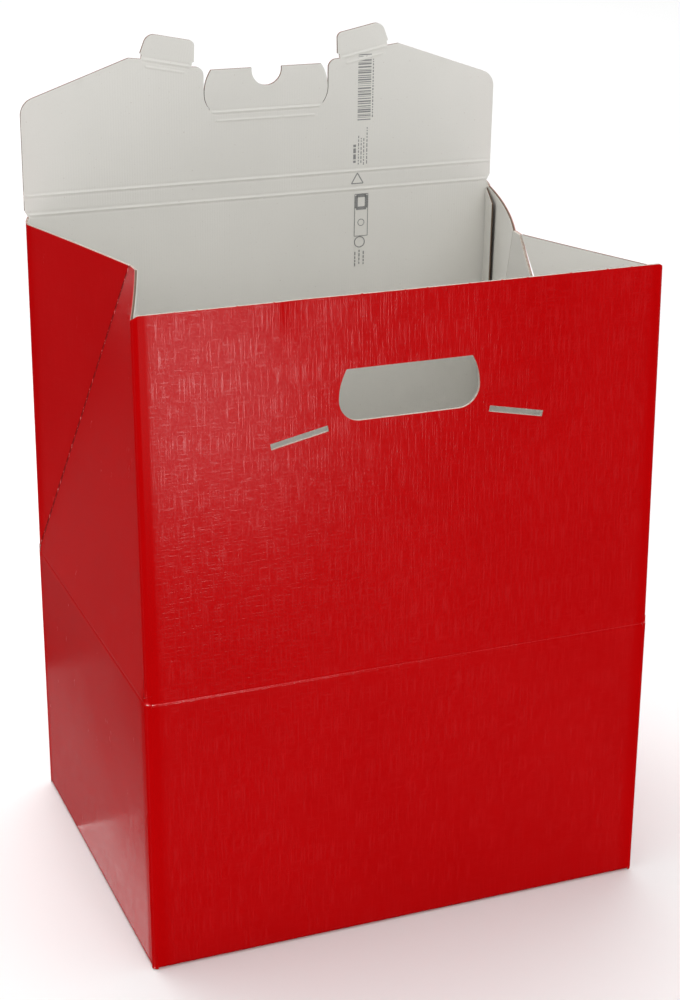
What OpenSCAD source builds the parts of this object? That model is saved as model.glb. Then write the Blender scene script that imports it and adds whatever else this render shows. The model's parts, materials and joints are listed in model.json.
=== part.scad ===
// Folding gable-top carry carton, standing open with its lid raised.
// One die-cut blank of fine fluted board with a coloured cover paper glued to its outside.
// Every panel is a board plate plus its piece of cover paper. Crease axes lie on the inner
// face of the board. Millimetres, +Z up, origin at the centre of the base, front towards -Y.

/* [Carton] */
// Outside width, left to right
box_w = 350; // [330:5:370]
// Outside depth, front to back
box_d = 272; // [264:2:280]
// Height of the straight walls, floor to gable crease
wall_h = 190; // [120:5:260]

/* [Board] */
// Thickness of the fluted board with its inner liner
board_t = 1.7; // [1.4:0.1:1.8]
// Thickness of the glued cover paper
cover_t = 0.3; // [0.2:0.1:0.4]
// Thickness of the glue flap, crushed flat in the seam
seam_t = 1.2; // [0.8:0.1:1.4]

/* [Gable] */
// Length of the front gable panel, crease to top edge
front_l = 246; // [244:0.5:248]
// Length of the back gable panel, crease to ridge crease
back_l = 248; // [247:0.5:250]
// Length of the side gussets, crease to top edge
side_l = 242.5; // [241:0.5:244]
// Width of a gusset's flat tip between its two diagonal creases
gusset_tip = 12; // [10:1:16]
// Inward lean of the front and back gable panels as the carton stands open, degrees
open_lean = 1.4; // [1:0.1:3]
// Clearance on each side of a diagonal crease
crease_gap = 0.8; // [0.6:0.1:1.2]

/* [Hand hole] */
// Drop from the front panel's top edge to the hole
hole_drop = 45.5; // [43:0.5:47]
// Height of the hole
hole_h = 33.3; // [30:0.1:36]
// Width of the hole's flat top edge
hole_top_w = 83.6; // [82:0.2:85]
// Greatest width of the hole
hole_w = 94; // [93:0.5:98]
// Width of the hole's flat bottom edge
hole_bottom_w = 66; // [60:1:72]
// Drop from the top of the hole to its widest place
hole_bulge_drop = 19.2; // [18:0.1:21]

/* [Tuck slots] */
// Distance from the carton's middle to a slot's and a tuck tab's middle
tuck_x = 72.5; // [71:0.5:75]
// Distance from the lid crease to the middle of a tab crease
tuck_drop = 84.6; // [83:0.1:86]
// Tilt of the tab creases and slots, degrees
tuck_tilt = 11.5; // [9:0.5:13]
// Length of a slot
slot_l = 38; // [38:0.5:40]
// Width of a slot
slot_w = 4; // [3.6:0.1:5]

/* [Lid] */
// Height of the ridge strip between the two ridge creases
ridge_h = 13.3; // [13:0.1:14]
// Width of the lid
lid_w = 349; // [344:1:349]
// Lid crease to the start of the rounded shoulder
lid_side_h = 63.2; // [58:0.2:66]
// Lid crease to the lid's two peaks
lid_peak_h = 89.3; // [88.8:0.1:91]
// Distance from the lid's middle to a peak
lid_peak_x = 99; // [96:1:102]
// Lid crease to the crease of the handle flap
flap_y = 48.65; // [48:0.1:50]
// Length of the handle flap
flap_l = 29.4; // [28:0.2:31]
// Width of the handle flap at its crease
flap_root_w = 79; // [76:0.5:80]
// Greatest width of the handle flap
flap_w = 91; // [86:0.5:91.5]
// Width of the handle flap at its free edge
flap_tip_w = 81; // [76:1:84]
// Diameter of the thumb notch
notch_d = 22.2; // [18:0.2:26]
// Depth of the thumb notch
notch_h = 12.6; // [10:0.2:14]
// Width of a tuck tab at the neck that sits in the slot
neck_w = 36.4; // [34:0.2:37]
// Width of a tuck tab across the shoulders that catch behind the slot
shoulder_w = 38.8; // [37.5:0.2:40]
// Length of a tuck tab
tab_l = 17.6; // [15:0.2:20]

/* [Seam] */
// Width of the glue flap
seam_w = 33; // [25:1:40]

/* [Bottom] */
// Depth of the interlock between the two main bottom flaps, either side of the middle
bottom_lap = 16; // [8:1:30]
// Reach of the glued side flaps under the goods
bottom_side_l = 96; // [60:2:120]

/* [Hidden] */

cover_red = [0.72, 0.03, 0.05];
board_white = [0.78, 0.77, 0.73];
arc_n = 10;                     // segments in a rounded corner
sheet_t = board_t + cover_t;    // board with its cover
in_w = box_w / 2 - sheet_t;     // middle to the inner face of a side wall
in_d = box_d / 2 - sheet_t;     // middle to the inner face of the front or back wall
gusset_a = in_d - gusset_tip / 2;   // width of a corner facet along the top edge

// The folding rule of the gusset: the two corner facets and the triangle stay flat while the
// front and back panels lean in, which fixes the facets' turn and the triangle's lean.
function facet_turn(lean) = acos((1 - side_l / gusset_a * sin(lean)) / cos(lean));
function gusset_lean(lean) = acos((1 - gusset_a / side_l * sin(lean)) / cos(lean));
facet_open = facet_turn(open_lean);
gusset_open = gusset_lean(open_lean);

lay = 0.02;                     // air under an inner bottom flap
bottom_gap = 0.6;               // gap between the two main bottom flaps
side_inset = 4;                 // bottom flaps are narrower than the wall they fold from
flap_kerf = 0.5;                // cut round the handle flap
ridge_rise = 0.45;              // lid crease above the front panel's top edge once closed
slot_y = front_l - tuck_drop - sheet_t / 2 + ridge_rise;   // middle of a slot, above the crease
neck_l = 2.9;                   // neck length, from the tab crease to the shoulders
tip_w = 34;                     // tab width at its free edge
wing_x = flap_w / 2 + flap_kerf;        // inner edge of a lid wing beside the handle flap
wing_top = 72.3;                // lid crease to where a wing's inner edge rounds over
bulge_y = 13.3;                 // handle flap's crease to its widest place
corner_foot = 0.45;             // a gable's rounded corners start this far above the side walls

// ---------------------------------------------------------------- outlines

function arc(c, r, a0, a1) =
    [for (i = [0:arc_n]) c + r * [cos(a0 + (a1 - a0) * i / arc_n), sin(a0 + (a1 - a0) * i / arc_n)]];
function unit(v) = v / norm(v);
function reversed(p) = [for (i = [len(p) - 1:-1:0]) p[i]];
function flipped(p) = [for (q = p) [-q[0], q[1]]];
// A left half, listed from top to bottom or bottom to top, closed with its mirror image
function both_halves(p) = concat(p, reversed(flipped(p)));

// Corner [x, y, r] between two neighbours, as an arc of radius r
function corner(before, c, after) =
    let (p = [c[0], c[1]],
         u = unit([before[0], before[1]] - p),
         v = unit([after[0], after[1]] - p),
         half = acos(max(-1, min(1, u * v))) / 2,
         centre = p + unit(u + v) * c[2] / sin(half),
         from = p + u * c[2] / tan(half) - centre,
         to = p + v * c[2] / tan(half) - centre,
         a0 = atan2(from[1], from[0]),
         turn = (atan2(to[1], to[0]) - a0 + 540) % 360 - 180)
    arc(centre, c[2], a0, a0 + turn);
// An outline of corners [x, y, r], sharp where r is 0
function rounded(p) =
    [for (i = [0:len(p) - 1])
        each p[i][2] == 0
            ? [[p[i][0], p[i][1]]]
            : corner(p[(i + len(p) - 1) % len(p)], p[i], p[(i + 1) % len(p)])];

// Left side of an opening that swells from half width w at height y to its widest, hw at height hy
function swell(w, y, hw, hy) =
    let (dx = hw - w, dy = y - hy, r = (dx * dx + dy * dy) / (2 * dx))
    arc([r - hw, hy], r, 180 - asin(dy / r), 180);
// Left half of a shape with two flat ends and swollen sides
function swollen_half(w0, y0, hw, hy, w1, y1) =
    concat(swell(w0, y0, hw, hy), reversed(swell(w1, y1, hw, hy)));

// ---------------------------------------------------------------- places

// Panel frames: x along the panel, y up it, z outwards from the board's inner face
module on_wall(side, inner) rotate([90, 0, side]) translate([0, 0, inner]) children();
module front() on_wall(0, in_d) children();
module right() on_wall(90, in_w) children();
module back() on_wall(180, in_d) children();
module left() on_wall(270, in_w) children();
module leaning(lean) translate([0, wall_h, 0]) rotate([-lean, 0, 0]) children();
// A corner facet in the frame of its gable panel, on the panel's right or left edge
module facet_place(hand) {
    mirror([hand < 0 ? 1 : 0, 0, 0])
        translate([in_w, 0, 0]) rotate([0, 90 + facet_open, 0]) children();
}
module ridge_place() back() leaning(open_lean) translate([0, back_l, 0]) children();
module lid_place() ridge_place() translate([0, ridge_h, 0]) children();
// A tuck tab's own frame: x along its crease from the outer end inwards
module tab_place(hand) {
    lid_place() mirror([hand < 0 ? 1 : 0, 0, 0])
        translate([-tuck_x, tuck_drop, 0]) rotate(-tuck_tilt) children();
}

// The two layers of a panel
module board_layer() color(board_white) linear_extrude(board_t) children();
module cover_layer() color(cover_red) translate([0, 0, board_t]) linear_extrude(cover_t) children();

// Rounded corners of the front and back panels, seen from above: a slice of a ring
module corner_slice(r0, r1, sweep, foot, height) {
    for (hand = [0, 1]) mirror([hand, 0, 0])
        translate([in_w, foot, 0]) rotate([-90, 0, 0]) linear_extrude(height - foot)
            polygon(concat(arc([0, 0], r1, -90, sweep - 90),
                           r0 == 0 ? [[0, 0]] : reversed(arc([0, 0], r0, -90, sweep - 90))));
}
module wide_board(sweep, foot, height) {
    color(board_white) {
        difference() {
            linear_extrude(board_t) translate([-in_w, 0]) square([2 * in_w, height]);
            translate([0, 0, -1]) linear_extrude(board_t + 2) children();
        }
        corner_slice(0, board_t, sweep, foot, height);
    }
}
module wide_cover(sweep, foot, height) {
    color(cover_red) {
        difference() {
            translate([0, 0, board_t]) linear_extrude(cover_t)
                translate([-in_w, 0]) square([2 * in_w, height]);
            linear_extrude(sheet_t + 1) children();
        }
        corner_slice(board_t, sheet_t, sweep, foot, height);
    }
}

// ---------------------------------------------------------------- walls

module wall_outline(half) translate([-half, 0]) square([2 * half, wall_h]);
module front_wall_board() front() wide_board(90, 0, wall_h);
module front_wall_cover() front() wide_cover(90, 0, wall_h);
module back_wall_board() back() wide_board(90, 0, wall_h);
module back_wall_cover() back() wide_cover(90, 0, wall_h);
module left_wall_board() left() board_layer() wall_outline(in_d);
module left_wall_cover() left() cover_layer() wall_outline(in_d);
module right_wall_board() right() board_layer() wall_outline(in_d);
module right_wall_cover() right() cover_layer() wall_outline(in_d);

// Main bottom flap, hinged on the front wall; its mirror twin hooks into it at the middle
module bottom_main() {
    half = in_w - side_inset;
    reach = -bottom_gap / 2;
    polygon(rounded([
        [-in_w, -in_d, 0], [in_w, -in_d, 0], [half, -in_d + side_inset, 0],
        [half, reach - bottom_lap, 3], [bottom_lap, reach - bottom_lap, 6],
        [-bottom_lap, reach + bottom_lap, 6], [-half, reach + bottom_lap, 3],
        [-half, -in_d + side_inset, 0]
    ]));
}
module bottom_board() color(board_white) translate([0, 0, cover_t]) linear_extrude(board_t) children();
module bottom_cover() color(cover_red) linear_extrude(cover_t) children();
module bottom_front_board() bottom_board() bottom_main();
module bottom_front_cover() bottom_cover() bottom_main();
module bottom_back_board() bottom_board() rotate(180) bottom_main();
module bottom_back_cover() bottom_cover() rotate(180) bottom_main();
// Side bottom flap, glued on top of the main flaps
module bottom_side() {
    color(board_white) translate([0, 0, sheet_t + lay]) linear_extrude(board_t)
        polygon(rounded([
            [in_w, -in_d + side_inset, 0], [in_w, in_d - side_inset, 0],
            [in_w - bottom_side_l / 3, in_d - side_inset, 0],
            [in_w - bottom_side_l, in_d - bottom_side_l, 5],
            [in_w - bottom_side_l, -in_d + bottom_side_l, 5],
            [in_w - bottom_side_l / 3, -in_d + side_inset, 0]
        ]));
}
module bottom_right_flap() bottom_side();
module bottom_left_flap() mirror([1, 0, 0]) bottom_side();

// Glue flap inside the right wall, folded round the back corner
module glue_flap_lower() {
    floor_y = 2 * sheet_t + 1;
    color(board_white) right() translate([0, 0, -seam_t]) linear_extrude(seam_t)
        polygon([[in_d - 0.5, floor_y], [in_d - 0.5, wall_h - 2],
                 [in_d - seam_w, wall_h - 6], [in_d - seam_w, floor_y + 8]]);
}

// ---------------------------------------------------------------- gable

// Hand hole and the two tuck slots
module hand_hole() {
    top = front_l - hole_drop;
    polygon(both_halves(swollen_half(hole_top_w / 2, top, hole_w / 2, top - hole_bulge_drop,
                                     hole_bottom_w / 2, top - hole_h)));
}
module slot(hand) {
    mirror([hand < 0 ? 0 : 1, 0]) translate([-tuck_x, slot_y]) rotate(tuck_tilt)
        square([slot_l, slot_w], center = true);
}
module front_cutouts() {
    hand_hole();
    slot(-1);
    slot(1);
}
module front_gable_board() {
    front() leaning(open_lean) wide_board(90 + facet_open, corner_foot, front_l) front_cutouts();
}
module front_gable_cover() {
    front() leaning(open_lean) wide_cover(90 + facet_open, corner_foot, front_l) front_cutouts();
}
module back_gable_board() back() leaning(open_lean) wide_board(90 + facet_open, corner_foot, back_l);
module back_gable_cover() back() leaning(open_lean) wide_cover(90 + facet_open, corner_foot, back_l);

// Middle triangle of a side, its tip cut flat, clear of the diagonal creases
slope = unit([gusset_a, side_l]);           // direction of a diagonal crease
side_step = crease_gap / slope[1];          // sideways distance that gives the clearance
module gusset_outline() {
    polygon([[-in_d + side_step, 0], [in_d - side_step, 0],
             [gusset_tip / 2 - side_step, side_l], [side_step - gusset_tip / 2, side_l]]);
}
module gusset_left_board() left() leaning(gusset_open) board_layer() gusset_outline();
module gusset_left_cover() left() leaning(gusset_open) cover_layer() gusset_outline();
module gusset_right_board() right() leaning(gusset_open) board_layer() gusset_outline();
module gusset_right_cover() right() leaning(gusset_open) cover_layer() gusset_outline();

// Corner facet: its upright edge on the panel, its slanted edge on the diagonal crease
module facet_outline() {
    polygon([[0, crease_gap / slope[0]], [gusset_a - side_step, side_l], [0, side_l]]);
}
module facet_left_front_board() front() leaning(open_lean) facet_place(-1) board_layer() facet_outline();
module facet_left_front_cover() front() leaning(open_lean) facet_place(-1) cover_layer() facet_outline();
module facet_right_front_board() front() leaning(open_lean) facet_place(1) board_layer() facet_outline();
module facet_right_front_cover() front() leaning(open_lean) facet_place(1) cover_layer() facet_outline();
module facet_left_rear_board() back() leaning(open_lean) facet_place(1) board_layer() facet_outline();
module facet_left_rear_cover() back() leaning(open_lean) facet_place(1) cover_layer() facet_outline();
module facet_right_rear_board() back() leaning(open_lean) facet_place(-1) board_layer() facet_outline();
module facet_right_rear_cover() back() leaning(open_lean) facet_place(-1) cover_layer() facet_outline();

// Glue flap on the inside of the right rear facet, its foot cut along the diagonal
module glue_flap_upper() {
    foot = 14;
    color(board_white) back() leaning(open_lean) facet_place(-1)
        translate([0, 0, -seam_t]) linear_extrude(seam_t)
            polygon([[1.5, foot], [seam_w, foot + seam_w * side_l / gusset_a],
                     [seam_w, side_l - 5.5], [1.5, side_l - 1]]);
}

// ---------------------------------------------------------------- lid

module ridge_outline() translate([-lid_w / 2, 0]) square([lid_w, ridge_h]);
module ridge_strip_board() ridge_place() board_layer() ridge_outline();
module ridge_strip_cover() ridge_place() cover_layer() ridge_outline();

// A point of the left tab's frame in the lid's frame
function tab_point(x, y) =
    [x * cos(tuck_tilt) + y * sin(tuck_tilt) - tuck_x,
     y * cos(tuck_tilt) - x * sin(tuck_tilt) + tuck_drop];
module lid_outline() {
    outer_neck = tab_point(-neck_w / 2, 0);
    inner_neck = tab_point(neck_w / 2, 0);
    edge = -lid_w / 2;
    outer_half = rounded([
        [0, 0, 0], [edge, 0, 0], [edge, lid_side_h, 12], [-lid_peak_x, lid_peak_h, 3],
        [outer_neck[0], outer_neck[1], 0], [inner_neck[0], inner_neck[1], 0],
        [-wing_x, inner_neck[1] - 0.6, 6], [-wing_x, wing_top - 8, 0], [0, wing_top - 8, 0]
    ]);
    difference() {
        polygon(concat(outer_half, reversed(flipped(outer_half))));
        polygon(both_halves(concat(
            [[-flap_root_w / 2 - flap_kerf, flap_y]],
            swell(flap_root_w / 2 + flap_kerf, flap_y, wing_x, flap_y + bulge_y),
            [[-wing_x, lid_peak_h]])));
    }
}
module lid_board() lid_place() board_layer() lid_outline();
module lid_cover() lid_place() cover_layer() lid_outline();

module tab_outline() {
    polygon(rounded([
        [-neck_w / 2, 0, 0], [-neck_w / 2, neck_l, 0], [-shoulder_w / 2, neck_l + 0.8, 0.4],
        [-tip_w / 2, tab_l, 7], [tip_w / 2, tab_l, 4],
        [shoulder_w / 2, neck_l + 0.8, 0.4], [neck_w / 2, neck_l, 0], [neck_w / 2, 0, 0]
    ]));
}
module tuck_tab_left_board() tab_place(-1) board_layer() tab_outline();
module tuck_tab_left_cover() tab_place(-1) cover_layer() tab_outline();
module tuck_tab_right_board() tab_place(1) board_layer() tab_outline();
module tuck_tab_right_cover() tab_place(1) cover_layer() tab_outline();

module flap_outline() {
    top = flap_y + flap_l;
    difference() {
        polygon(both_halves(swollen_half(flap_tip_w / 2, top, flap_w / 2, flap_y + bulge_y,
                                         flap_root_w / 2, flap_y)));
        translate([0, top - notch_h + notch_d / 2]) {
            circle(d = notch_d, $fn = 48);
            translate([-notch_d / 2, 0]) square([notch_d, notch_d]);
        }
    }
}
module handle_flap_board() lid_place() board_layer() flap_outline();
module handle_flap_cover() lid_place() cover_layer() flap_outline();

// ---------------------------------------------------------------- nodes

front_wall_board();
front_wall_cover();
back_wall_board();
back_wall_cover();
left_wall_board();
left_wall_cover();
right_wall_board();
right_wall_cover();
bottom_front_board();
bottom_front_cover();
bottom_back_board();
bottom_back_cover();
bottom_left_flap();
bottom_right_flap();
glue_flap_lower();
front_gable_board();
front_gable_cover();
back_gable_board();
back_gable_cover();
gusset_left_board();
gusset_left_cover();
gusset_right_board();
gusset_right_cover();
facet_left_front_board();
facet_left_front_cover();
facet_right_front_board();
facet_right_front_cover();
facet_left_rear_board();
facet_left_rear_cover();
facet_right_rear_board();
facet_right_rear_cover();
glue_flap_upper();
ridge_strip_board();
ridge_strip_cover();
lid_board();
lid_cover();
tuck_tab_left_board();
tuck_tab_left_cover();
tuck_tab_right_board();
tuck_tab_right_cover();
handle_flap_board();
handle_flap_cover();
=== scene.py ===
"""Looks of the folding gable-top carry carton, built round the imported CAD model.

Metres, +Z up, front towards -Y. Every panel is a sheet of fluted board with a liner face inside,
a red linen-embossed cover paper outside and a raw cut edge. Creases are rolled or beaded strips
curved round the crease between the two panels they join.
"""

import json
import math

import bpy
import numpy as np
from mathutils import Matrix, Vector
from mathutils.geometry import delaunay_2d_cdt


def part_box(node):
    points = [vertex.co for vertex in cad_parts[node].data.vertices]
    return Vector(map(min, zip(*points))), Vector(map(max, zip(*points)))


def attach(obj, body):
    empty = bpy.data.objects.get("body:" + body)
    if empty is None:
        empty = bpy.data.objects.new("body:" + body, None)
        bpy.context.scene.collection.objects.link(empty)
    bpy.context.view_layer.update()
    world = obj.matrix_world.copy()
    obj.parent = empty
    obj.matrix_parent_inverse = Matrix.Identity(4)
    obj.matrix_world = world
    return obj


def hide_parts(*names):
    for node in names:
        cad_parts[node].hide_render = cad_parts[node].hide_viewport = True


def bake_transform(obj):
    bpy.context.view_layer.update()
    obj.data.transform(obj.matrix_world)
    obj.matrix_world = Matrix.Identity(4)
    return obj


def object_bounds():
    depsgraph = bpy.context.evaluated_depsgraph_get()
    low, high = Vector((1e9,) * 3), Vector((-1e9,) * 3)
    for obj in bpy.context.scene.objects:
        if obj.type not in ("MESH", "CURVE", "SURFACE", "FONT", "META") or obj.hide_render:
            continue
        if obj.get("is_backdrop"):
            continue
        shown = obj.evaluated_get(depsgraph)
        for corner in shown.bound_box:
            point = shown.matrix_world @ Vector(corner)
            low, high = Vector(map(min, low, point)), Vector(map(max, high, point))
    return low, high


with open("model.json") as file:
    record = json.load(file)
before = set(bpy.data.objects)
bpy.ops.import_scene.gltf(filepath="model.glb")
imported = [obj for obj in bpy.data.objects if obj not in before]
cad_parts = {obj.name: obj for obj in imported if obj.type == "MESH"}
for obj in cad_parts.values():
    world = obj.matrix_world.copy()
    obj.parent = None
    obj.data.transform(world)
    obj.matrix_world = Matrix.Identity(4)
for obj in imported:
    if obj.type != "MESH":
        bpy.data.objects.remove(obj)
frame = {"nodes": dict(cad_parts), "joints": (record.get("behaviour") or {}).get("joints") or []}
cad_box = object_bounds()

MM = 0.001
rng = np.random.default_rng(718)

# ---------------- sizes, from the frame

IN_W = -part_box("left_wall_board")[1].x                 # middle to a side wall's inner face
IN_D = -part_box("front_wall_board")[1].y                # middle to the front wall's inner face
WALL_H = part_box("left_wall_board")[1].z                # floor to the gable creases
SHEET = -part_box("left_wall_cover")[0].x - IN_W         # board with its cover paper
BOARD = -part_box("left_wall_board")[0].x - IN_W         # board alone
SEAM = IN_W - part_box("glue_flap_lower")[0].x           # the crushed glue flap

ROLL_CUT = 1.6 * MM         # a wall stops this far short of a rolled corner
CORNER_CUT = ROLL_CUT * 1.3  # and a gable panel or a facet this far
FLAT_CUT = 3.4 * MM         # and this far short of a crease that is nearly flat
SMALL_CUT = 2.3 * MM        # and this far at the tabs and the handle flap
BEAD_H = 0.36 * MM          # bead pushed up inside a crease
BEAD_R = 1.0 * MM           # its half width
GROOVE = 0.40 * MM          # groove pressed into the cover side of a crease
ROLLED = {"bead": 0.1 * MM, "groove": 0.12 * MM}        # a rolled corner has next to no bead
SEAM_GAP = 0.45 * MM        # open joint between the glued right side and the back's rolled corner
SMOOTH_REACH = 9 * MM       # the linen is pressed smooth this far from an upright corner
FLUTE = 1.8 * MM            # pitch of the board's flutes
NEAR = 0.7 * MM             # points this close to a line count as lying on it
LINER, COVER, EDGE = 0, 1, 2
SIDES = [("front", 0, -1), ("back", 0, 1), ("left", -1, 0), ("right", 1, 0)]
CORNERS = [("left_front", -1, -1), ("right_front", 1, -1), ("left_rear", -1, 1), ("right_rear", 1, 1)]

# ---------------- panels


class Panel:
    """A panel's own frame: x along its crease, y up the panel, z outwards from its inner face."""

    def __init__(self, name, body, nodes, origin, x, z):
        self.name, self.body, self.nodes = name, body, nodes
        self.origin = np.array(origin, float)
        x, z = np.array(x, float), np.array(z, float)
        self.axes = np.array([x, np.cross(z, x), z])
        self.blank = lambda x, y: (x, y)        # where a point lies on the unfolded blank

    def world(self, points):
        return self.origin + np.asarray(points, float) @ self.axes

    def local(self, points):
        return (np.asarray(points, float) - self.origin) @ self.axes.T

    def loops(self):
        return cad_loops(self.nodes[0], self)

    def foot(self):
        """Where the panel's crease starts and stops, as x in its own frame."""
        xs = [p[0] for p in self.loops()[0] if p[1] < 1 * MM]
        return min(xs), max(xs)


def hinged_panel(body):
    """The frame of a panel that folds on a joint: its origin is on the joint's axis."""
    joint = next(j for j in frame["joints"] if j["child"] == body)
    pivot, axis = Vector(joint["pos_m"]), Vector(joint["axis"]).normalized()
    mesh = frame["nodes"][body + "_board"].data
    flat = max(mesh.polygons, key=lambda p: p.area).normal
    up = axis.cross(flat).normalized()
    middle = sum((v.co for v in mesh.vertices), Vector()) / len(mesh.vertices)
    if up.dot(middle - pivot) < 0:
        up = -up
    nodes = [body + "_board", body + "_cover"]
    return Panel(body, body, nodes, pivot, -axis, up.cross(axis))


HINGED = [
    "front_gable", "back_gable", "gusset_left", "gusset_right",
    "facet_left_front", "facet_right_front", "facet_left_rear", "facet_right_rear",
    "ridge_strip", "lid", "tuck_tab_left", "tuck_tab_right", "handle_flap",
]
panels = {name: hinged_panel(name) for name in HINGED}
for side, x, y in SIDES:
    nodes = [side + "_wall_board", side + "_wall_cover"]
    panels[side + "_wall"] = Panel(side + "_wall", "carton", nodes, (x * IN_W, y * IN_D, 0),
                                   (-y, x, 0), (x, y, 0))

# The cover's linen and the liner's flutes run up the panels, so the corner facets, whose crease
# stands upright, lie turned on the blank
for name in HINGED:
    if name.startswith("facet"):
        panels[name].blank = lambda x, y: (y + 0.4, x)
panels["left_wall"].blank = panels["gusset_left"].blank = lambda x, y: (x + 0.7, y)
panels["right_wall"].blank = panels["gusset_right"].blank = lambda x, y: (x + 1.1, y)
panels["front_gable"].blank = lambda x, y: (x, y + WALL_H)

# ---------------- outlines


def signed_area(loop):
    return sum(a[0] * b[1] - b[0] * a[1] for a, b in zip(loop, loop[1:] + loop[:1])) / 2


def without_straight_points(loop):
    kept = []
    for i, p in enumerate(loop):
        a, b = loop[i - 1], loop[(i + 1) % len(loop)]
        turn = (p[0] - a[0]) * (b[1] - p[1]) - (p[1] - a[1]) * (b[0] - p[0])
        if abs(turn) > 1e-3 * math.dist(a, p) * math.dist(p, b):
            kept.append(p)
    return kept


def cad_loops(node, panel):
    """Outlines, outer one first, of a CAD node's flat face on the panel's inner plane."""
    mesh = frame["nodes"][node].data
    flat = panel.local([v.co for v in mesh.vertices])
    key = [(round(x, 5), round(y, 5)) for x, y, z in flat]
    edges = set()
    for face in mesh.polygons:
        if all(abs(flat[i][2]) < 0.01 * MM for i in face.vertices):
            ring = [key[i] for i in face.vertices]
            for a, b in zip(ring, ring[1:] + ring[:1]):
                if (b, a) in edges:
                    edges.remove((b, a))
                elif a != b:
                    edges.add((a, b))
    after = dict(sorted(edges))
    loops = []
    while after:
        at = min(after)
        loop = []
        while at in after:
            loop.append(at)
            at = after.pop(at)
        loops.append(without_straight_points(loop))
    loops.sort(key=lambda q: -abs(signed_area(q)))
    turned = [q if (signed_area(q) > 0) == (i == 0) else q[::-1] for i, q in enumerate(loops)]
    return [q for q in turned if len(q) > 2]


def near_line(p, a, b):
    a, b = np.array(a), np.array(b)
    length = math.dist(a, b)
    along, off = (b - a) / length, np.array(p) - a
    aside = abs(along[0] * off[1] - along[1] * off[0])
    return aside < NEAR and -NEAR < off @ along < length + NEAR


def directions(p, q):
    """Unit vectors from p to q and towards the left of that."""
    along = (q - p) / np.linalg.norm(q - p)
    return along, np.array([-along[1], along[0]])


def cut_ends(loop, a, b, depth):
    """Where a strip of that depth, along the line from a to b, leaves the outline.

    Returns the index of the outline's edge and the points that take its two corners' place.
    """
    n = len(loop)
    for i in range(n):
        p, q = np.array(loop[i]), np.array(loop[(i + 1) % n])
        if near_line(p, a, b) and near_line(q, a, b) and math.dist(p, q) > 5 * MM:
            break
    else:
        return None, None
    _, inward = directions(p, q)
    ends = []
    for corner, other in ((p, loop[i - 1]), (q, loop[(i + 2) % n])):
        side = np.array(other) - corner
        side = side / np.linalg.norm(side)
        if side @ inward > 0.3:
            ends.append([tuple(corner + side * depth / (side @ inward))])
        else:
            ends.append([tuple(corner), tuple(corner + inward * depth)])
    return i, ends


def cut_back(loop, a, b, depth):
    """Takes a strip of that depth off the outline where it runs along the line from a to b."""
    i, ends = cut_ends(loop, a, b, depth)
    if i is None:
        return loop
    made = []
    for k, point in enumerate(loop):
        if k == i:
            made += ends[0]
        elif k == (i + 1) % len(loop):
            made += ends[1][::-1]
        else:
            made.append(point)
    return made


def inside(points, loops):
    """Even-odd test of many points against several loops at once."""
    hit = np.zeros(len(points), bool)
    for loop in loops:
        q = np.array(loop)
        for (x0, y0), (x1, y1) in zip(q, np.roll(q, -1, 0)):
            if y0 != y1:
                spans = (y0 > points[:, 1]) != (y1 > points[:, 1])
                hit ^= spans & (points[:, 0] < (x1 - x0) * (points[:, 1] - y0) / (y1 - y0) + x0)
    return hit


def edge_distance(points, loops):
    best = np.full(len(points), 1.0)
    for loop in loops:
        q = np.array(loop)
        for a, b in zip(q, np.roll(q, -1, 0)):
            best = np.minimum(best, segment_distance(points, a, b))
    return best


def segment_distance(points, a, b):
    a, b = np.array(a), np.array(b)
    along = b - a
    t = np.clip((points - a) @ along / (along @ along), 0, 1)
    return np.linalg.norm(points - a - t[:, None] * along, axis=1)


def stepped(p, q, step):
    n = max(1, math.ceil(math.dist(p, q) / step))
    return [tuple(np.array(p) + (np.array(q) - np.array(p)) * i / n) for i in range(n)]


def toothed(p, q, teeth):
    """Points from p to q with small teeth (distance from p, width, height) standing outwards."""
    p, q = np.array(p), np.array(q)
    length = math.dist(p, q)
    along = (q - p) / length
    out = np.array([along[1], -along[0]])
    made = [tuple(p)]
    for at, width, height in teeth:
        if 2 * MM < at - width and at + width < length - 2 * MM:
            for side, rise in ((-0.5, 0), (-0.32, 1), (0.32, 1), (0.5, 0)):
                made.append(tuple(p + along * (at + side * width) + out * height * rise))
    return made


def nicks(length, spacing, width, height):
    """Teeth at uneven places, as a die leaves them."""
    places = np.arange(spacing * 0.6, length, spacing)
    places = places + rng.uniform(-0.35, 0.35, len(places)) * spacing
    sizes = rng.uniform(0.6, 1.3, len(places))
    return [(at, width * size, height * size) for at, size in zip(places, sizes)]


# ---------------- sheet meshes


def smooth(x):
    x = np.clip(x, 0, 1)
    return x * x * (3 - 2 * x)


def add_object(name, data):
    made = bpy.data.objects.new(name, data)
    bpy.context.scene.collection.objects.link(made)
    return made


def make_mesh(name, verts, faces, slots, sheet, linen, crack_and_painted_light, materials):
    mesh = bpy.data.meshes.new(name)
    mesh.from_pydata([tuple(v) for v in verts], [], faces)
    for material in materials:
        mesh.materials.append(material)
    mesh.polygons.foreach_set("material_index", slots)
    place = mesh.attributes.new("sheet", "FLOAT_VECTOR", "POINT")
    place.data.foreach_set("vector", np.asarray(sheet, np.float32).ravel())
    for label, values in (("linen", linen), ("crack_and_painted_light", crack_and_painted_light)):
        attribute = mesh.attributes.new(label, "FLOAT", "POINT")
        attribute.data.foreach_set("value", np.asarray(values, np.float32))
    mesh.validate()
    mesh.shade_smooth()
    mesh.set_sharp_from_angle(angle=math.radians(48))
    return add_object(name, mesh)


smooth_lines = []       # the two ends of every upright corner


def linen_at(world):
    """Strength of the cover's linen, which the rolled corners have pressed smooth."""
    strength = np.ones(len(world))
    for a, b in smooth_lines:
        away = segment_distance(world, a, b)
        strength = np.minimum(strength, smooth((away - SMOOTH_REACH * 0.75) / (SMOOTH_REACH * 0.35)))
    return strength


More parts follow.
